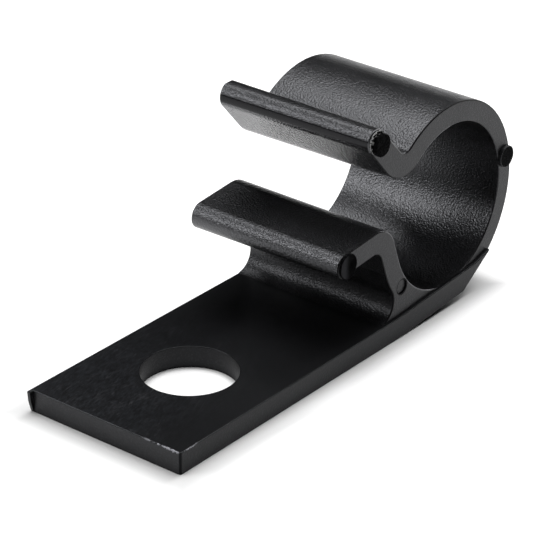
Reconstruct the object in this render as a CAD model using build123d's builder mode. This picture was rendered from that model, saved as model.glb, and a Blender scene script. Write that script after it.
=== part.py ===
"""Cable clip moulded in one piece of black plastic: a flat strap with a screw hole, and a
sprung ring on its tail that a cable snaps into past two flared lips.

Millimetres, +Z up. The origin is on the axis of the screw hole, on the strap's underside,
+X runs along the strap towards the ring, and the cable lies along Y."""

import os
from math import acos, atan2, cos, degrees, hypot, radians, sin, sqrt, tan

from build123d import *

# The strap
strap_width = 12.7
strap_thickness = 1.6
hole_diameter = 6.6
hole_to_front = 8.4         # hole axis to the strap's front end

# The tail of the strap, which rises a little under the ring and is cut off at a slant
hole_to_bend = 14.6         # hole axis to where the underside leaves the flat
tail_slope = 4.1            # degrees
tail_length = 7.64          # bend to the start of the slanted cut
tail_cut_slope = 34.0       # degrees
tail_cut_height = 2.06
tail_edge = 0.08            # blunt edge that the cut leaves at the top
tail_flare = 1.7            # last stretch of the top, which turns up to that edge
tail_corner_radius = 0.8    # rounding where the cut starts

# The ring, a sprung eye that is thinnest at its back
hole_to_ring = 20.36        # hole axis to the bore's axis
bore_diameter = 12.0
floor_thickness = 1.43      # plastic between the bore and the strap's underside
ring_wall = 1.515           # mean wall
ring_shift = 0.134          # the outside is set this far off the bore's axis
ring_shift_angle = 153.0    # degrees, the direction of that shift
end_step = 0.25             # the ring and lips stop this far short of the strap's near side

# Rounded edge of each lip, and the hollow where the ring stands on the strap
bead_radius = 0.88
root_fillet = 1.4

# The upper lip, which turns back out of the ring round a groove and rises to its bead
groove_radius = 0.9
groove_angle = 127.1        # degrees round the ring
throat_radius = 2.66        # the rounded throat below the groove
throat_angle = 128.1        # degrees round the bore
upper_lip_length = 2.9      # throat to bead
upper_lip_angle = 131.4     # degrees, the lip's direction

# The lower lip, on a neck that rises straight from the ring
neck_angle = 200.0          # degrees round the ring to the foot of the neck
neck_length = 1.89
lip_bend_radius = 2.05
inner_bend_radius = 0.9
lip_thickness = 1.57
lower_lip_length = 3.34     # bend to bead
lower_lip_angle = 184.8     # degrees, the lip's direction
bead_blend = 0.3            # hollow behind the bead

# Marks of the mould on the near end: pads left by ejector pins, and the cut gate
lip_pad_radius = 0.89
lip_pad_rise = 0.08         # the pad sits this far above the bead's centre
pad_dish_radius = 0.72
pad_dish_depth = 0.16
ring_pad_radius = 0.8
ring_pad_angle = 12.3       # degrees round the ring
gate_radius = 0.78
gate_length = 0.5
root_mark_radius = 0.57
root_mark_depth = 0.12
root_mark_angle = 218.0     # degrees round the ring
root_mark_setback = 0.61    # bore's wall to the mark's centre

# Flash on the strap's far front corner, a thin fin that is tallest at the top
flash_width = 0.23
flash_reach = 0.35
flash_steps = ((0.3, 0.15), (0.8, 0.55), (1.0, 1.0))   # parts of its reach and height


def polar(centre, radius, angle):
    """The point at a distance and a direction in degrees."""
    return (centre[0] + radius * cos(radians(angle)), centre[1] + radius * sin(radians(angle)))


def bearing(first, second):
    """Distance and direction in degrees from one point to another."""
    along, up = second[0] - first[0], second[1] - first[1]
    return hypot(along, up), degrees(atan2(up, along))


def meet(first, first_angle, second, second_angle):
    """Where two lines cross, each given by a point and a direction in degrees."""
    distance, angle = bearing(first, second)
    reach = distance * sin(radians(angle - second_angle)) / sin(radians(first_angle - second_angle))
    return polar(first, reach, first_angle)


def arc(centre, radius, start, end):
    """An arc of a circle between two angles in degrees."""
    return CenterArc(centre, radius, start, end - start)


# The bore, and the ring's outer circle a little off it
rise = tan(radians(tail_slope))
bore_radius = bore_diameter / 2
bore_height = (hole_to_ring - hole_to_bend) * rise + floor_thickness + bore_radius
bore_centre = (hole_to_ring, bore_height)
ring_radius = bore_radius + ring_wall
ring_centre = polar(bore_centre, ring_shift, ring_shift_angle)

# The strap's ends, and the foot where its underside runs out on the ring's outer circle
front = (-hole_to_front, 0)
front_top = (-hole_to_front, strap_thickness)
bend = (hole_to_bend, 0)
bend_top = (hole_to_bend, strap_thickness)
bend_distance, bend_angle = bearing(bend, ring_centre)
ring_clearance = bend_distance * sin(radians(bend_angle - tail_slope))
foot_angle = tail_slope - 90 + degrees(acos(ring_clearance / ring_radius))
foot = polar(ring_centre, ring_radius, foot_angle)
cut_start = (hole_to_bend + tail_length, tail_length * rise)
cut_end = polar(cut_start, tail_cut_height / sin(radians(tail_cut_slope)), tail_cut_slope)
tail_tip = (cut_end[0], cut_end[1] + tail_edge)
flare_start = (cut_end[0] - tail_flare, strap_thickness + (cut_end[0] - tail_flare - hole_to_bend) * rise)

# Upper lip: its underside runs from the throat to the bead, its top from the groove
groove = polar(ring_centre, ring_radius + groove_radius, groove_angle)
throat = polar(bore_centre, bore_radius + throat_radius, throat_angle)
lip_under_angle = upper_lip_angle + 90
lip_under_start = polar(throat, throat_radius, lip_under_angle)
lip_under_end = polar(lip_under_start, upper_lip_length, upper_lip_angle)
upper_bead = polar(lip_under_end, -bead_radius, lip_under_angle)
groove_to_bead, groove_to_bead_angle = bearing(groove, upper_bead)
lip_over_angle = groove_to_bead_angle + degrees(acos((groove_radius + bead_radius) / groove_to_bead))
lip_over_start = polar(groove, groove_radius, lip_over_angle)
lip_over_end = polar(upper_bead, -bead_radius, lip_over_angle)

# Lower lip: the neck's right side and the lip's top meet in the outer bend
neck_direction = neck_angle - 90
neck_foot = polar(bore_centre, bore_radius, neck_angle)
neck_top = polar(neck_foot, neck_length, neck_direction)
lip_bend = polar(neck_top, lip_bend_radius, neck_angle)
lip_top_angle = lower_lip_angle - 90
lip_top_start = polar(lip_bend, lip_bend_radius, lip_top_angle)
lip_top_end = polar(lip_top_start, lower_lip_length, lower_lip_angle)
lower_bead = polar(lip_top_end, bead_radius, lip_top_angle + 180)

# The neck's left side and the lip's underside meet in the inner bend
neck_left_foot = polar(ring_centre, ring_radius, neck_angle)
inner_side = polar(neck_left_foot, inner_bend_radius, neck_angle)
inner_under = polar(lip_top_end, lip_thickness + inner_bend_radius, lip_top_angle + 180)
inner_bend = meet(inner_side, neck_direction, inner_under, lower_lip_angle)
blend_depth = lip_thickness - bead_radius + bead_blend
blend_run = sqrt((bead_radius + bead_blend) ** 2 - blend_depth ** 2)
blend = polar(polar(lower_bead, blend_run, lower_lip_angle + 180), blend_depth, lip_top_angle + 180)
blend_angle = bearing(lower_bead, blend)[1]

# The hollow at the root, between the ring and the strap's top
root_drop = ring_centre[1] - strap_thickness - root_fillet
root_run = sqrt((ring_radius + root_fillet) ** 2 - root_drop ** 2)
root = (ring_centre[0] - root_run, strap_thickness + root_fillet)
root_angle = bearing(root, ring_centre)[1]

# Ends of the part along the cable
far_side = strap_width / 2
near_side = -far_side
ring_end = near_side + end_step

with BuildPart() as cable_clip:
    # The moulded section, from the far side to the plane where the ring ends
    with BuildSketch(Plane.XZ.offset(-far_side)):
        with BuildLine():
            Polyline(front_top, front, bend, foot)
            arc(ring_centre, ring_radius, foot_angle, groove_angle)
            arc(groove, groove_radius, groove_angle + 180, lip_over_angle)
            Line(lip_over_start, lip_over_end)
            arc(upper_bead, bead_radius, lip_over_angle - 180, lip_under_angle)
            Line(lip_under_end, lip_under_start)
            arc(throat, throat_radius, lip_under_angle, throat_angle + 180)
            arc(bore_centre, bore_radius, throat_angle, neck_angle - 360)
            Line(neck_foot, neck_top)
            arc(lip_bend, lip_bend_radius, neck_angle - 180, lip_top_angle)
            Line(lip_top_start, lip_top_end)
            arc(lower_bead, bead_radius, lip_top_angle, blend_angle + 360)
            arc(blend, bead_blend, blend_angle + 180, lip_top_angle)
            Line(polar(blend, bead_blend, lip_top_angle), polar(inner_bend, inner_bend_radius, lip_top_angle))
            arc(inner_bend, inner_bend_radius, lip_top_angle, neck_angle - 180)
            Line(polar(inner_bend, -inner_bend_radius, neck_angle), neck_left_foot)
            arc(ring_centre, ring_radius, neck_angle, root_angle + 180)
            arc(root, root_fillet, root_angle, -90)
            Line((root[0], strap_thickness), front_top)
        make_face()
    extrude(amount=far_side - ring_end)

    # The strap alone goes on to the near side, where its tail is cut at a slant
    with BuildSketch(Plane.XZ.offset(-ring_end)):
        with BuildLine():
            Polyline(front, bend, cut_start, cut_end, tail_tip, flare_start, bend_top, front_top, close=True)
        strap_end = make_face()
        fillet(strap_end.vertices().sort_by_distance(cut_start)[0], radius=tail_corner_radius)
    extrude(amount=end_step)

    # The screw hole
    with BuildSketch(Plane.XY):
        Circle(hole_diameter / 2)
    extrude(amount=strap_thickness, mode=Mode.SUBTRACT)

    # Pads on the lower lip and the ring's back, level with the strap's near side
    lip_pad = (lower_bead[0], lower_bead[1] + lip_pad_rise)
    with BuildSketch(Plane.XZ.offset(-ring_end)):
        with Locations(lip_pad):
            Circle(lip_pad_radius)
        with Locations(polar(bore_centre, bore_radius + ring_wall / 2, ring_pad_angle)):
            Circle(ring_pad_radius)
    extrude(amount=end_step)

    # The lower lip's pad is dished
    dish_radius = (pad_dish_radius ** 2 + pad_dish_depth ** 2) / (2 * pad_dish_depth)
    with Locations((lip_pad[0], near_side + pad_dish_depth - dish_radius, lip_pad[1])):
        Sphere(dish_radius, mode=Mode.SUBTRACT)

    # The cut gate on the upper lip
    with BuildSketch(Plane.XZ.offset(-ring_end)):
        with Locations(upper_bead):
            Circle(gate_radius)
    extrude(amount=gate_length)

    # A shallow pin mark at the root
    with BuildSketch(Plane.XZ.offset(-ring_end)):
        with Locations(polar(bore_centre, bore_radius + root_mark_setback, root_mark_angle)):
            Circle(root_mark_radius)
    extrude(amount=-root_mark_depth, mode=Mode.SUBTRACT)

    # Flash on the far front corner
    with BuildSketch(Plane.XZ.offset(-far_side)):
        flash_edge = [(front[0] - out * flash_reach, up * strap_thickness) for out, up in flash_steps]
        with BuildLine():
            Polyline(front_top, front, *flash_edge, close=True)
        make_face()
    extrude(amount=flash_width)

cable_clip.part.label = "cable_clip"

os.makedirs("parts", exist_ok=True)
export_step(cable_clip.part, "parts/cable_clip.step")
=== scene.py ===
"""Cable clip moulded in black plastic, as it looks on a white board under soft light.

Everything is in metres, in the frame of the solids."""

from math import cos, pi, radians, sin

import bmesh
import bpy
from mathutils import Matrix, Vector


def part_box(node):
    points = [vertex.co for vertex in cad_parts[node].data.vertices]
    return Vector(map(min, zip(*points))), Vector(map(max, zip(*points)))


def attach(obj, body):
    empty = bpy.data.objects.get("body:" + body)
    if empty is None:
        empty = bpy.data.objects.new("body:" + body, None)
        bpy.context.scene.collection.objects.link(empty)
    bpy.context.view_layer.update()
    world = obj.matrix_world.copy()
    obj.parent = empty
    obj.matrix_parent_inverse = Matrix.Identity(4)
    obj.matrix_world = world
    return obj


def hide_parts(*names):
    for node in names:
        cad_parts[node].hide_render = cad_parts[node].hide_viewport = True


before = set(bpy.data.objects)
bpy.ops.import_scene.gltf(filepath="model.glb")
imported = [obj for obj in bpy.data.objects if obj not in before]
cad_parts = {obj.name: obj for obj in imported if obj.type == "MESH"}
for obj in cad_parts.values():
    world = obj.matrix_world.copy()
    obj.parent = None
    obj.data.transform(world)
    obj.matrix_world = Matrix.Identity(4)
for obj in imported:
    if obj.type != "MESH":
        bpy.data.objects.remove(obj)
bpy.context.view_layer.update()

# The moulding: one shot of black plastic, a strap with a sprung ring on its tail. It starts as a
# copy of its solid, with the marks of the mould taken off its near end so that each can be made
# as itself further down.
millimetre = 0.001
hair = 0.003 * millimetre
flat = radians(0.3)
strap_top = 1.6 * millimetre
tail_top = 2.75 * millimetre
ring_end = -6.1 * millimetre
near_side = -6.35 * millimetre
gate_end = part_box("cable_clip")[0].y
pin_mark_depth = 0.12 * millimetre

moulding = bpy.data.objects.new("moulded_clip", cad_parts["cable_clip"].data.copy())
bpy.context.collection.objects.link(moulding)


def take(piece):
    """Makes one piece the only one that is selected and worked on."""
    bpy.ops.object.select_all(action="DESELECT")
    piece.select_set(True)
    bpy.context.view_layer.objects.active = piece


def choose(kind, wanted):
    """Selects the vertices, edges or faces that a test wants, on the piece that is being edited."""
    bpy.ops.mesh.select_mode(type=kind)
    bpy.ops.mesh.select_all(action="DESELECT")
    shape = bpy.context.active_object.data
    mesh = bmesh.from_edit_mesh(shape)
    for part in {"VERT": mesh.verts, "EDGE": mesh.edges, "FACE": mesh.faces}[kind]:
        if wanted(part):
            part.select_set(True)
    bmesh.update_edit_mesh(shape)


def across(part, place):
    """Whether an edge or face lies in the plane at that place along the cable."""
    return all(abs(vert.co.y - place) < hair for vert in part.verts)


def mould_mark(face):
    """Whether a face belongs to a pad, the gate, the pin mark or the end face that carries them."""
    middle = face.calc_center_median()
    if across(face, ring_end):
        return face.normal.y < 0 or middle.z > tail_top
    if all(vert.co.y < ring_end + hair for vert in face.verts):
        return middle.z > tail_top
    sunk = all(ring_end - hair < vert.co.y < ring_end + pin_mark_depth + hair for vert in face.verts)
    return sunk and middle.z > strap_top


def outline(points):
    """Middle and radius of the round outline that some points of the solid lie on."""
    low = Vector(min(point[axis] for point in points) for axis in range(3))
    high = Vector(max(point[axis] for point in points) for axis in range(3))
    return (low + high) / 2, (high.x - low.x) / 2


take(moulding)
bpy.ops.object.mode_set(mode="EDIT")
bpy.ops.mesh.select_all(action="SELECT")
bpy.ops.mesh.remove_doubles(threshold=hair)
bpy.ops.mesh.customdata_custom_splitnormals_clear()
bpy.ops.mesh.dissolve_limited(angle_limit=flat)

corners = [vert.co.copy() for vert in bmesh.from_edit_mesh(moulding.data).verts]
pad_rims = [point for point in corners if abs(point.y - near_side) < hair and point.z > tail_top]
gate_middle, gate_radius = outline([point for point in corners if abs(point.y - gate_end) < hair])
lip_pad_middle, lip_pad_radius = outline([point for point in pad_rims if point.x < gate_middle.x])
ring_pad_middle, ring_pad_radius = outline([point for point in pad_rims if point.x > gate_middle.x])
pin_mark_middle, pin_mark_radius = outline(
    [point for point in corners if abs(point.y - ring_end - pin_mark_depth) < hair])

choose("FACE", mould_mark)
bpy.ops.mesh.delete(type="FACE")
choose("EDGE", lambda edge: edge.is_boundary)
bpy.ops.mesh.edge_face_add()

# The walls: the mould parts at the far end, so they are a hair thicker there than at the near
# end, and still end no further out than the solid does.
draft = 0.07 * millimetre
ring_back, far_side, lip_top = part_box("cable_clip")[1]
choose("FACE", lambda face: across(face, far_side))
bpy.ops.mesh.delete(type="ONLY_FACE")
choose("VERT", lambda vert: abs(vert.co.y - far_side) < hair and vert.co.z > strap_top + hair)
bpy.ops.transform.shrink_fatten(value=draft, use_even_offset=True)
bpy.ops.transform.resize(value=(1, 0, 1), center_override=(0, far_side, 0))
choose("VERT", lambda vert: vert.co.z > lip_top)
bpy.ops.transform.resize(value=(1, 1, 0), center_override=(0, 0, lip_top))
choose("VERT", lambda vert: vert.co.x > ring_back)
bpy.ops.transform.resize(value=(0, 1, 1), center_override=(ring_back, 0, 0))
choose("EDGE", lambda edge: edge.is_boundary)
bpy.ops.mesh.edge_face_add()

# The near edges: the bottom of the mould was cut with a round tool, so every edge there is eased.
# The strap's near front corner, the top of its front and the rim of the screw hole have lost their
# sharpness too.
facet = radians(35)
front = -8.4 * millimetre
ring_easing = 0.09 * millimetre
strap_easing = 0.07 * millimetre
hole_easing = 0.05 * millimetre
hole_reach = 4 * millimetre
corner_easing = 0.22 * millimetre


def stands_out(edge):
    """Whether an edge is an outer corner, and not the line between two facets of a curve."""
    return edge.is_manifold and edge.is_convex and edge.calc_face_angle() > facet


def ring_edge(edge):
    """Whether an edge runs round the near end of the ring or of a lip."""
    height = (edge.verts[0].co.z + edge.verts[1].co.z) / 2
    return across(edge, ring_end) and stands_out(edge) and height > strap_top + hair


def near_corner(edge):
    """Whether an edge is the upright one at the strap's near front corner."""
    return across(edge, near_side) and all(abs(vert.co.x - front) < hair for vert in edge.verts)


def strap_edge(edge):
    """Whether an edge runs along the strap's near side, or across the top of its front."""
    if not stands_out(edge):
        return False
    low, high = sorted(vert.co.z for vert in edge.verts)
    by_front = all(vert.co.x < front + corner_easing + hair for vert in edge.verts)
    return across(edge, near_side) or by_front and low > strap_top - hair


def hole_edge(edge):
    """Whether an edge runs round the top of the screw hole."""
    near_hole = all(Vector((vert.co.x, vert.co.y, 0)).length < hole_reach for vert in edge.verts)
    return near_hole and stands_out(edge) and edge.verts[0].co.z > strap_top - hair < edge.verts[1].co.z


choose("EDGE", near_corner)
bpy.ops.mesh.bevel(offset=corner_easing, segments=4, profile=0.5)
for wanted, easing in ((ring_edge, ring_easing), (strap_edge, strap_easing), (hole_edge, hole_easing)):
    choose("EDGE", wanted)
    bpy.ops.mesh.bevel(offset=easing, segments=3, profile=0.5, clamp_overlap=False)
bpy.ops.object.mode_set(mode="OBJECT")

# Finishes of the moulding: all of it is the same black plastic. The ring and lips carry the fine
# grain of a spark-cut mould, the strap was polished and has since been rubbed, and the end face
# and the strap's sides are in between.


def node_group(name, values, results):
    """A shader node group with named numbers going in and coming out."""
    group = bpy.data.node_groups.new(name, "ShaderNodeTree")
    for value, default in values.items():
        socket = group.interface.new_socket(value, in_out="INPUT", socket_type="NodeSocketFloat")
        socket.default_value = default
    for result in results:
        group.interface.new_socket(result, in_out="OUTPUT", socket_type="NodeSocketFloat")
    return group, group.nodes.new("NodeGroupInput"), group.nodes.new("NodeGroupOutput")


def add(tree, kind, links=(), **settings):
    """A shader node with its settings made and its sockets linked or given values."""
    node = tree.nodes.new(kind)
    for setting, value in settings.items():
        setattr(node, setting, value)
    for socket, source in links:
        if isinstance(source, bpy.types.NodeSocket):
            tree.links.new(source, node.inputs[socket])
        else:
            node.inputs[socket].default_value = source
    return node


def maths(tree, operation, first, second=0.5):
    """What a sum on one or two numbers or sockets gives."""
    node = add(tree, "ShaderNodeMath", [(0, first), (1, second)], operation=operation)
    return node.outputs[0]


def fade(tree, value, start, end):
    """A smooth change from 0 to 1 while a value goes from start to end."""
    node = add(
        tree, "ShaderNodeMapRange",
        [("Value", value), ("From Min", start), ("From Max", end)], interpolation_type="SMOOTHSTEP")
    return node.outputs["Result"]


def fall(tree, value, start, end):
    """A smooth change from 1 to 0 while a value goes from start to end."""
    return maths(tree, "SUBTRACT", 1.0, fade(tree, value, start, end))


def in_millimetres(tree, stretch=(1, 1, 1), turned=(0, 0, 0)):
    """Places on the piece in millimetres, stretched or turned for a pattern."""
    place = add(tree, "ShaderNodeTexCoord")
    placing = add(tree, "ShaderNodeMapping", [("Vector", place.outputs["Object"])], vector_type="TEXTURE")
    placing.inputs["Scale"].default_value = [millimetre / part for part in stretch]
    placing.inputs["Rotation"].default_value = [radians(part) for part in turned]
    return placing.outputs["Vector"]


def place_of(tree):
    """The X, Y and Z of a place on the piece, each in millimetres."""
    return add(tree, "ShaderNodeSeparateXYZ", [(0, in_millimetres(tree))]).outputs


def noise(tree, where, scale, detail=2.0, rough=0.5):
    """A cloudy pattern with that many clouds in a millimetre."""
    node = add(
        tree, "ShaderNodeTexNoise",
        [("Vector", where), ("Scale", scale), ("Detail", detail), ("Roughness", rough)])
    return node.outputs["Fac"]


# Grain: pits and peaks about as large as the spark that cut them. The peaks are rubbed a little
# paler, and the gloss drifts in patches. Size is in millimetres.
grain_stretch = (1, 0.75, 1)
peak_start, peak_end = 0.5, 0.75
patches_in_a_millimetre = 0.55
grain, sizes, results = node_group("spark_grain", {"Size": 0.16}, ["Height", "Peaks", "Patches"])
place = in_millimetres(grain, grain_stretch)
pits = noise(grain, place, maths(grain, "DIVIDE", 1.0, sizes.outputs["Size"]), detail=1.0)
grain.links.new(pits, results.inputs["Height"])
grain.links.new(fade(grain, pits, peak_start, peak_end), results.inputs["Peaks"])
grain.links.new(noise(grain, place, patches_in_a_millimetre), results.inputs["Patches"])

# Rubbing: long fine scratches, both along the strap and aslant, and a haze of finer ones, all
# thickest by the screw end and away from the near side. The haze's paling towards the screw end is
# partly a painted reflection. Each way of scratching has its turn in degrees, how close its scratches
# and its gaps lie, and the level of the noise that it follows.
scratch_ways = ((-11, 6.0, 0.6, 0.56), (10, 4.5, 0.75, 0.59), (22, 3.5, 0.9, 0.62))
scratch_stretch = (0.06, 1, 1)
scratch_width = 0.02
gap_end, scratch_start = 0.45, 0.65
haze_stretch, haze_turn = (0.2, 1, 1), (0, 0, 10)
hazes_in_a_millimetre = 11.0
haze_start, haze_full = 0.42, 0.7
most_rubbed_and_reflecting, least_rubbed_and_reflecting = -6.0, 10.0
spared, rubbed = -7.5, 1.0
rubbing, sizes, results = node_group("rubbing", {"Strength": 1.0}, ["Scratches", "Haze_and_reflection", "Scuffs"])
scratches = 0.0
for turned, close, gaps, level in scratch_ways:
    lines = noise(rubbing, in_millimetres(rubbing, scratch_stretch, (0, 0, turned)), close, detail=1.0)
    off_line = maths(rubbing, "ABSOLUTE", maths(rubbing, "SUBTRACT", lines, level))
    thin = fall(rubbing, off_line, 0.0, scratch_width)
    broken = fade(rubbing, noise(rubbing, in_millimetres(rubbing), gaps), gap_end, scratch_start)
    scratches = maths(rubbing, "MAXIMUM", scratches, maths(rubbing, "MULTIPLY", thin, broken))
where = place_of(rubbing)
# Paler towards the screw end: partly rubbing, partly a painted reflection.
rubbing_and_reflection_by_screw = fall(rubbing, where["X"], most_rubbed_and_reflecting, least_rubbed_and_reflecting)
off_near_side = fade(rubbing, where["Y"], spared, rubbed)
wear_and_reflection = maths(
    rubbing, "MULTIPLY", maths(rubbing, "MULTIPLY", rubbing_and_reflection_by_screw, off_near_side), sizes.outputs["Strength"])
haze = noise(
    rubbing, in_millimetres(rubbing, haze_stretch, haze_turn), hazes_in_a_millimetre, detail=4.0, rough=0.75)
hazed = fade(rubbing, haze, haze_start, haze_full)
rubbing.links.new(maths(rubbing, "MULTIPLY", scratches, wear_and_reflection), results.inputs["Scratches"])
rubbing.links.new(maths(rubbing, "MULTIPLY", hazed, wear_and_reflection), results.inputs["Haze_and_reflection"])

# Scuffs: the two top edges that meet at the strap's near front corner have knocked against things.
# Each scuff has a ragged width in from its edge, and ends some way along it, in millimetres.
scuffs_in_a_millimetre = 1.6
raggedness = 0.65
front_scuff_in, front_scuff_along = (0.35, 0.41), (2.2, 3.4)
side_scuff_in, side_scuff_along = (0.36, 0.42), (1.2, 1.8)
behind_front = maths(rubbing, "SUBTRACT", where["X"], front / millimetre)
below_top = maths(rubbing, "SUBTRACT", strap_top / millimetre, where["Z"])
inside_near = maths(rubbing, "SUBTRACT", where["Y"], near_side / millimetre)
ragged = noise(rubbing, in_millimetres(rubbing), scuffs_in_a_millimetre, detail=4.0, rough=0.75)
ragged = maths(rubbing, "MULTIPLY", ragged, raggedness)
from_front = maths(rubbing, "ADD", maths(rubbing, "ADD", behind_front, below_top), ragged)
from_side = maths(rubbing, "ADD", maths(rubbing, "ADD", inside_near, below_top), ragged)
front_scuff = maths(
    rubbing, "MULTIPLY",
    fall(rubbing, from_front, *front_scuff_in), fall(rubbing, inside_near, *front_scuff_along))
side_scuff = maths(
    rubbing, "MULTIPLY",
    fall(rubbing, from_side, *side_scuff_in), fall(rubbing, behind_front, *side_scuff_along))
rubbing.links.new(maths(rubbing, "MAXIMUM", front_scuff, side_scuff), results.inputs["Scuffs"])

# The plastic is a touch blue, and so is its gloss, which drifts a little from patch to patch.
blue = 1.1
gloss_tint = (0.94, 0.95, 1, 1)
haze_tint = (0.92, 1, 1.15)
patch_low, patch_high = 0.3, 0.7
gloss_drift = 0.015


def bluish(grey):
    """A shade of grey with the plastic's touch of blue."""
    return (grey, grey, blue * grey, 1)


def black_plastic(name, colour, peak, gloss_level, roughness, size, depth):
    """Black plastic with a grain of that size and depth, in millimetres, and paler peaks."""
    material = bpy.data.materials.new(name)
    material.use_nodes = True
    tree = material.node_tree
    shader = tree.nodes["Principled BSDF"]
    shader.inputs["Specular IOR Level"].default_value = gloss_level
    shader.inputs["Specular Tint"].default_value = gloss_tint
    surface = add(tree, "ShaderNodeGroup", node_tree=grain)
    surface.inputs["Size"].default_value = size
    bump = add(
        tree, "ShaderNodeBump", [("Height", surface.outputs["Height"]), ("Distance", depth * millimetre)])
    tree.links.new(bump.outputs["Normal"], shader.inputs["Normal"])
    shade = add(
        tree, "ShaderNodeMix",
        [("Factor", surface.outputs["Peaks"]), ("A", bluish(colour)), ("B", bluish(peak))],
        data_type="RGBA")
    tree.links.new(shade.outputs["Result"], shader.inputs["Base Color"])
    gloss = add(
        tree, "ShaderNodeMapRange",
        [("Value", surface.outputs["Patches"]), ("From Min", patch_low), ("From Max", patch_high),
         ("To Min", roughness - gloss_drift), ("To Max", roughness + gloss_drift)])
    tree.links.new(gloss.outputs["Result"], shader.inputs["Roughness"])
    return material


def lay_over(material, mask, colour):
    """Lays a second colour over a finish's own, where a mask says."""
    tree = material.node_tree
    base = tree.nodes["Principled BSDF"].inputs["Base Color"]
    mixed = add(
        tree, "ShaderNodeMix",
        [("Factor", mask), ("A", base.links[0].from_socket), ("B", colour)], data_type="RGBA")
    tree.links.new(mixed.outputs["Result"], base)


def rub(material, haze, scratch, scuff):
    """Adds the strap's haze, with its painted reflection, and its scratches and scuffs to a finish, each in
    its own shade of grey.
    """
    marks = add(material.node_tree, "ShaderNodeGroup", node_tree=rubbing).outputs
    lay_over(material, marks["Haze_and_reflection"], (*[tint * haze for tint in haze_tint], 1))
    lay_over(material, marks["Scratches"], bluish(scratch))
    lay_over(material, marks["Scuffs"], bluish(scuff))


# The ring and lips are grained. The bore and the flat top of the lower lip are a little darker, the
# root duller as painted shade under the lips, and the underside of the upper lip is pitted.
grained_plastic = black_plastic(
    "grained_plastic", colour=0.003, peak=0.007, gloss_level=0.87, roughness=0.31, size=0.105, depth=0.04)
bore_plastic = black_plastic(
    "bore_plastic", colour=0.002, peak=0.006, gloss_level=0.8, roughness=0.3, size=0.11, depth=0.028)
lip_plastic = black_plastic(
    "lip_plastic", colour=0.002, peak=0.005, gloss_level=0.55, roughness=0.31, size=0.105, depth=0.045)
root_plastic = black_plastic(
    "root_plastic", colour=0.003, peak=0.01, gloss_level=0.4, roughness=0.34, size=0.105, depth=0.035)
pitted_plastic = black_plastic(
    "pitted_plastic", colour=0.002, peak=0.004, gloss_level=0.7, roughness=0.2, size=0.14, depth=0.055)

# The end faces are dull. Their edges carry a painted highlight where they turn to the light, and painted
# shade elsewhere, and a smooth, dull band of painted shade runs along the front of the upper lip's bead.
end_plastic = black_plastic(
    "end_plastic", colour=0.004, peak=0.025, gloss_level=0.295, roughness=0.4, size=0.12, depth=0.02)
painted_shade_edge_plastic = black_plastic(
    "painted_shade_edge_plastic", colour=0.002, peak=0.004, gloss_level=0.1, roughness=0.4, size=0.12, depth=0.002)
painted_highlight_edge_plastic = black_plastic(
    "painted_highlight_edge_plastic", colour=0.02, peak=0.04, gloss_level=0.8, roughness=0.3, size=0.12, depth=0.002)
bead_shade_plastic = black_plastic(
    "bead_shade_plastic", colour=0.003, peak=0.005, gloss_level=0.22, roughness=0.22, size=0.12, depth=0.004)

# The strap is smooth on top, and its front and sides are duller. All three are rubbed.
smooth_tint = (0.92, 0.96, 1, 1)
smooth_plastic = black_plastic(
    "smooth_plastic", colour=0.005, peak=0.008, gloss_level=0.24, roughness=0.31, size=0.1, depth=0.0005)
wall_plastic = black_plastic(
    "wall_plastic", colour=0.005, peak=0.014, gloss_level=0.36, roughness=0.4, size=0.12, depth=0.01)
side_plastic = black_plastic(
    "side_plastic", colour=0.004, peak=0.012, gloss_level=0.24, roughness=0.4, size=0.12, depth=0.01)
smooth_plastic.node_tree.nodes["Principled BSDF"].inputs["Specular Tint"].default_value = smooth_tint
rub(smooth_plastic, haze=0.021, scratch=0.036, scuff=0.3)
rub(wall_plastic, haze=0.006, scratch=0.03, scuff=0.3)
rub(side_plastic, haze=0.006, scratch=0.03, scuff=0.3)

# Where each finish starts and ends. The last four are parts of a face's normal, not lengths.
root_end = Vector((15, 5.6)) * millimetre
bore_middle, bore_radius = Vector((20.36, 7.84)) * millimetre, 6 * millimetre
bead_reach = 0.95 * millimetre
neck_back = 15.6 * millimetre
lip_rise = 2.2 * millimetre
tilted = 0.1
sideways = 0.9
flat_top = 0.9
normal_slant = 0.3


def strap_finish(face):
    """The finish of a face of the strap."""
    if abs(face.normal.z) > tilted:
        return smooth_plastic
    if Vector((face.center.x, face.center.y)).length < hole_reach:
        return side_plastic
    # The rounded near corner gets painted shade.
    if min(-face.normal.x, -face.normal.y) > normal_slant:
        return painted_shade_edge_plastic
    return side_plastic if abs(face.normal.y) > sideways else wall_plastic


def near_edge_finish(face, from_bore, on_bead):
    """The finish of an eased edge round the near end of the ring or of a lip."""
    # Eased edges turned to the light get a painted highlight, the others painted shade.
    if from_bore < bore_radius + ring_easing:
        return painted_highlight_edge_plastic if face.center.x < bore_middle.x else end_plastic
    if face.normal.x > tilted and face.center.x < neck_back:
        return painted_highlight_edge_plastic
    return grained_plastic if on_bead else painted_shade_edge_plastic


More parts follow.
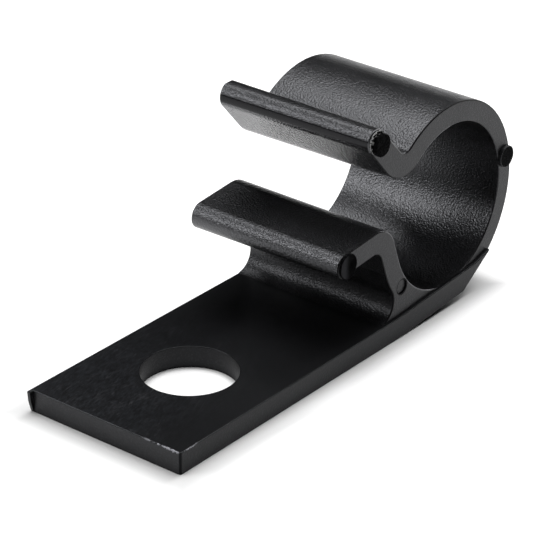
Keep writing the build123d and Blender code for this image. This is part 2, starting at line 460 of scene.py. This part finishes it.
def finish_of(face):
    """The finish of a face of the moulding, by its place and the way it faces."""
    places = [moulding.data.vertices[corner].co.y for corner in face.vertices]
    if min(places) > far_side - hair or max(places) < ring_end + hair and face.center.z > tail_top:
        return end_plastic
    if face.center.z < strap_top + hair or min(places) < ring_end - hair:
        return strap_finish(face)
    if max(places) < ring_end + hair:
        return end_plastic
    from_bore = (Vector((face.center.x, face.center.z)) - bore_middle).length
    from_bead = face.center - gate_middle
    on_bead = Vector((from_bead.x, from_bead.z)).length < bead_reach
    if max(places) < ring_end + ring_easing + hair:
        return near_edge_finish(face, from_bore, on_bead)
    # The front of the upper lip's bead is a band of painted shade.
    if on_bead and abs(face.normal.z) < normal_slant:
        return bead_shade_plastic if face.normal.x < 0 else grained_plastic
    if face.normal.z > flat_top and face.center.x < neck_back and face.center.z < bore_middle.y + lip_rise:
        return lip_plastic if face.center.z > root_end.y else root_plastic
    if from_bore < bore_radius + draft:
        return bore_plastic
    if face.normal.x < -tilted and face.normal.z < -normal_slant and face.center.z > bore_middle.y:
        return pitted_plastic
    return root_plastic if face.center.x < root_end.x and face.center.z < root_end.y else grained_plastic


finishes = (
    grained_plastic, smooth_plastic, end_plastic, painted_shade_edge_plastic, wall_plastic, root_plastic,
    bead_shade_plastic, painted_highlight_edge_plastic, bore_plastic, pitted_plastic, side_plastic, lip_plastic)
moulding.data.materials.clear()
for finish in finishes:
    moulding.data.materials.append(finish)
for face in moulding.data.polygons:
    face.material_index = finishes.index(finish_of(face))

# Pads and gate: the ejector pins left two pads on the near end, about level with the strap's side,
# and a shallow mark at the root. The gate was snapped off the upper lip and left a torn stub.
seat = ring_end + 0.03 * millimetre
pin_easing = 0.05 * millimetre


def pin(name, middle, radius, low, high, finish):
    """A round of plastic along the cable between two places."""
    bpy.ops.object.select_all(action="DESELECT")
    bpy.ops.mesh.primitive_cylinder_add(
        vertices=64, radius=radius, depth=high - low,
        location=(middle.x, (low + high) / 2, middle.z), rotation=(pi / 2, 0, 0))
    piece = bpy.context.active_object
    piece.name = name
    bpy.ops.object.transform_apply()
    piece.data.materials.append(finish)
    return piece


def ease_near_end(piece, low, easing):
    """Eases the rim of a pin's near end, and leaves its near face chosen in edit mode."""
    take(piece)
    bpy.ops.object.mode_set(mode="EDIT")
    choose("EDGE", lambda edge: across(edge, low))
    bpy.ops.mesh.bevel(offset=easing, segments=3)
    choose("FACE", lambda face: across(face, low))


def work_in(piece, how):
    """Joins a piece to the moulding, or cuts the moulding with it."""
    take(moulding)
    joining = moulding.modifiers.new(piece.name, "BOOLEAN")
    joining.object = piece
    joining.operation = how
    joining.material_mode = "TRANSFER"
    bpy.ops.object.modifier_apply(modifier=joining.name)
    bpy.data.objects.remove(piece)


# The ring's pad is plain, and rough and black on its near face alone.
pin_plastic = black_plastic(
    "pin_plastic", colour=0.001, peak=0.01, gloss_level=0.04, roughness=0.8, size=0.12, depth=0.05)
ring_pad = pin("ring_pad", ring_pad_middle, ring_pad_radius, near_side, seat, end_plastic)
ring_pad.data.materials.append(pin_plastic)
ease_near_end(ring_pad, near_side, pin_easing)
ring_pad.active_material_index = 1
bpy.ops.object.material_slot_assign()
bpy.ops.object.mode_set(mode="OBJECT")
work_in(ring_pad, "UNION")

# The lower lip's pad is a little lower than the strap's side, and scooped out. The hollow's light and
# shade are painted: pale on its shallow left, black on its steep right, and its black flank is painted
# shade.
scoop_rings = 8
scoop_slant = 3
scoop_lean = (0.96, 0, 0.25)
scoop_depth = 0.11 * millimetre
pad_end = near_side + 0.12 * millimetre
pad_middle = lip_pad_middle + Vector((0.15, 0, -0.1)) * millimetre
pad_painted_light = 0.035
painted_shade_right_of, painted_light_left_of = 0.15, -0.5
painted_pad_plastic = black_plastic(
    "painted_pad_plastic", colour=0.001, peak=0.002, gloss_level=0.02, roughness=0.8, size=0.12, depth=0.02)
tree = painted_pad_plastic.node_tree
# Painted light on the hollow's left, painted shade on its right.
off_middle = maths(tree, "SUBTRACT", place_of(tree)["X"], pad_middle.x / millimetre)
lay_over(painted_pad_plastic, fade(tree, off_middle, painted_shade_right_of, painted_light_left_of), bluish(pad_painted_light))
# The flank keeps the black pin finish, as painted shade.
lip_pad = pin("lip_pad", pad_middle, lip_pad_radius, pad_end, seat, pin_plastic)
lip_pad.data.materials.append(painted_pad_plastic)
ease_near_end(lip_pad, pad_end, pin_easing)
lip_pad.active_material_index = 1
scoop_step = (lip_pad_radius - pin_easing) / (scoop_rings + 0.5)
for ring in range(scoop_rings):
    bpy.ops.object.material_slot_assign()
    drop = scoop_depth * (2 * ring + 1) / scoop_rings ** 2
    bpy.ops.mesh.inset(thickness=scoop_step, depth=-drop)
    if ring < scoop_slant:
        bpy.ops.transform.translate(value=[part * scoop_step for part in scoop_lean])
bpy.ops.object.mode_set(mode="OBJECT")
work_in(lip_pad, "UNION")

# The mark at the root is a round recess with a thin step round it, black but for its floor.
mark_step = 0.09 * millimetre
mark_start = ring_end - 0.3 * millimetre
mark_ledge = ring_end + 0.012 * millimetre
mark_floor = ring_end + pin_mark_depth
mark_middle = pin_mark_middle + Vector((-0.05, 0, -0.05)) * millimetre
shadow_plastic = black_plastic(
    "shadow_plastic", colour=0.001, peak=0.003, gloss_level=0.06, roughness=0.5, size=0.12, depth=0.004)
pin_mark = pin(
    "pin_mark", mark_middle, pin_mark_radius + mark_step / 2, mark_start, mark_ledge, shadow_plastic)
pin_mark.data.materials.append(end_plastic)
take(pin_mark)
bpy.ops.object.mode_set(mode="EDIT")
choose("FACE", lambda face: across(face, mark_ledge))
bpy.ops.mesh.inset(thickness=mark_step)
bpy.ops.mesh.extrude_region_move(TRANSFORM_OT_translate={"value": (0, mark_floor - mark_ledge, 0)})
pin_mark.active_material_index = 1
bpy.ops.object.material_slot_assign()
bpy.ops.object.mode_set(mode="OBJECT")
work_in(pin_mark, "DIFFERENCE")

# The gate's stub sits low on a thin collar, and both were torn. Plastic turns pale where it tears,
# in a ragged line round the root of the stub. The stub's end isn't flat, so it is made of
# triangles, which join to the moulding in the same way each time.
collar_end = ring_end - 0.13 * millimetre
stub_middle = gate_middle + Vector((0.1, 0, -0.17)) * millimetre
stub_radius = 0.76 * millimetre
stub_rings = 3
tear = 0.05 * millimetre
tear_grey = 0.4
tears_in_a_millimetre = 5.0
tear_raggedness = 0.8
tear_start, tear_end = (0.38, 0.42), (0.48, 0.52)
torn_plastic = black_plastic(
    "torn_plastic", colour=0.001, peak=0.006, gloss_level=0.04, roughness=0.8, size=0.15, depth=0.06)
tree = torn_plastic.node_tree
ragged = noise(tree, in_millimetres(tree), tears_in_a_millimetre, detail=3.0, rough=0.7)
ragged = maths(tree, "MULTIPLY", ragged, tear_raggedness)
from_root = maths(
    tree, "ADD", maths(tree, "SUBTRACT", ring_end / millimetre, place_of(tree)["Y"]), ragged)
torn = maths(tree, "MULTIPLY", fade(tree, from_root, *tear_start), fall(tree, from_root, *tear_end))
lay_over(torn_plastic, torn, (tear_grey, tear_grey, tear_grey, 1))
collar = pin("gate_collar", gate_middle, gate_radius, collar_end, seat, torn_plastic)
work_in(collar, "UNION")
stub = pin("gate_stub", stub_middle, stub_radius, gate_end, seat, torn_plastic)
ease_near_end(stub, gate_end, pin_easing)
for ring in range(stub_rings):
    bpy.ops.mesh.inset(thickness=stub_radius / (stub_rings + 1))
choose("VERT", lambda vert: vert.co.y < collar_end)
bpy.ops.transform.vertex_random(offset=tear, uniform=1, seed=4)
choose("VERT", lambda vert: vert.co.y < gate_end)
bpy.ops.transform.resize(value=(1, 0, 1), center_override=(0, gate_end, 0))
bpy.ops.mesh.select_all(action="SELECT")
bpy.ops.mesh.quads_convert_to_tris()
bpy.ops.object.mode_set(mode="OBJECT")
work_in(stub, "UNION")

# The clip is closed wherever a join left it open, and smoothed between its edges.
take(moulding)
bpy.ops.object.mode_set(mode="EDIT")
choose("EDGE", lambda edge: edge.is_boundary)
bpy.ops.mesh.edge_face_add()
bpy.ops.object.mode_set(mode="OBJECT")
bpy.ops.object.shade_smooth_by_angle(angle=facet)
bpy.ops.object.modifier_add(type="WEIGHTED_NORMAL")
moulding.modifiers[-1].keep_sharp = True
bpy.ops.object.modifier_apply(modifier=moulding.modifiers[-1].name)
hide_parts("cable_clip")
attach(moulding, "root")

# The table top: plain white board. To the camera and in reflections it looks lighter than it is lit,
# by painted light that also fills the ring's cast shadow and the shade in the screw hole, but not the
# shadow close round the clip, which fades out over the distances given here, in millimetres.
board_white = (0.73, 0.73, 0.73)
board_size = 4.0
board_lift = 0.45
tail_foot = 25.1 * millimetre
ring_shadow_along, ring_shadow_across = (-6.0, 14.0), (-0.2, 1.8)
shadow_edge = (0.7, 2.8)
hole_shadow = (2.7, 3.3)
bpy.ops.object.select_all(action="DESELECT")
bpy.ops.mesh.primitive_plane_add(size=board_size)
floor = bpy.context.active_object
floor.name = "floor"
white = bpy.data.materials.new("white_board")
white.use_nodes = True
tree = white.node_tree
board = tree.nodes["Principled BSDF"]
board.inputs["Base Color"].default_value = (*board_white, 1)
board.inputs["Roughness"].default_value = 0.9
board.inputs["Specular IOR Level"].default_value = 0.0
board.inputs["Emission Color"].default_value = (1, 1, 1, 1)
ray = add(tree, "ShaderNodeLightPath").outputs
seen = maths(tree, "ADD", ray["Is Camera Ray"], ray["Is Glossy Ray"])
seen_through = add(
    tree, "ShaderNodeMath", [(0, seen), (1, ray["Is Transmission Ray"])], operation="ADD", use_clamp=True)
spot = place_of(tree)
past_side = maths(tree, "SUBTRACT", maths(tree, "ABSOLUTE", spot["Y"]), far_side / millimetre)
past_tail = maths(tree, "SUBTRACT", spot["X"], tail_foot / millimetre)
past_front = maths(tree, "SUBTRACT", front / millimetre, spot["X"])
clear = maths(tree, "MAXIMUM", past_side, past_tail)
# Painted light that fills the ring's cast shadow beside the strap and tail.
painted_light_by_ring = maths(
    tree, "MULTIPLY", fade(tree, spot["X"], *ring_shadow_along), fade(tree, clear, *ring_shadow_across))
open_floor = fade(tree, maths(tree, "MAXIMUM", clear, past_front), *shadow_edge)
# Painted light in the shade of the screw hole.
from_hole = add(tree, "ShaderNodeVectorMath", [(0, in_millimetres(tree))], operation="LENGTH")
painted_light_in_hole = fall(tree, from_hole.outputs["Value"], *hole_shadow)
brighter = maths(tree, "MAXIMUM", maths(tree, "MAXIMUM", painted_light_by_ring, open_floor), painted_light_in_hole)
lift = maths(tree, "MULTIPLY", seen_through.outputs[0], maths(tree, "MULTIPLY", brighter, board_lift))
tree.links.new(lift, board.inputs["Emission Strength"])
floor.data.materials.append(white)

# The lights: one soft box overhead, one strip on the left, and one past the clip's tail, behind it
# on the right. The room is black.
world = bpy.data.worlds.new("studio")
bpy.context.scene.world = world
world.use_nodes = True
world.node_tree.nodes["Background"].inputs["Color"].default_value = (0, 0, 0, 1)
light_distance = 0.5


def soft_box(name, turn, height, wide, tall, brightness):
    """An even soft box in that direction, in degrees and metres, facing the clip."""
    lamp = bpy.data.lights.new(name, "AREA")
    lamp.shape = "RECTANGLE"
    lamp.size, lamp.size_y = wide, tall
    lamp.energy = brightness * pi * wide * tall
    turn, height = radians(turn), radians(height)
    towards = Vector((cos(turn) * cos(height), sin(turn) * cos(height), sin(height)))
    holder = bpy.data.objects.new(name, lamp)
    bpy.context.collection.objects.link(holder)
    holder.location = towards * light_distance
    holder.rotation_euler = towards.to_track_quat("Z", "Y").to_euler()
    holder.visible_camera = False


soft_box("overhead_box", turn=32, height=77, wide=0.55, tall=0.4, brightness=4.2)
soft_box("left_strip", turn=134, height=31, wide=0.15, tall=0.22, brightness=8.0)
soft_box("right_strip", turn=0, height=34, wide=0.16, tall=0.5, brightness=6.0)

# The camera, at the photograph's angle and distance.
turn, height, roll = radians(-51.3972), radians(27.0766), radians(0.3412)
distance = 175.638 * millimetre
aside, above = 5.0429 * millimetre, 8.2390 * millimetre
focal_length = 180.287
film_width = 36
back = Vector((sin(turn) * cos(height), -cos(turn) * cos(height), sin(height)))
right = Vector((cos(turn), sin(turn), 0))
up = back.cross(right)
turned_right = right * cos(roll) + up * sin(roll)
turned_up = up * cos(roll) - right * sin(roll)
camera_data = bpy.data.cameras.new("camera")
camera_data.lens = focal_length
camera_data.sensor_width = film_width
camera = bpy.data.objects.new("camera", camera_data)
bpy.context.collection.objects.link(camera)
camera.matrix_world = Matrix((turned_right, turned_up, back)).transposed().to_4x4()
camera.location = back * distance + turned_right * aside + turned_up * above
bpy.context.scene.camera = camera
bpy.context.scene.view_settings.view_transform = "Standard"
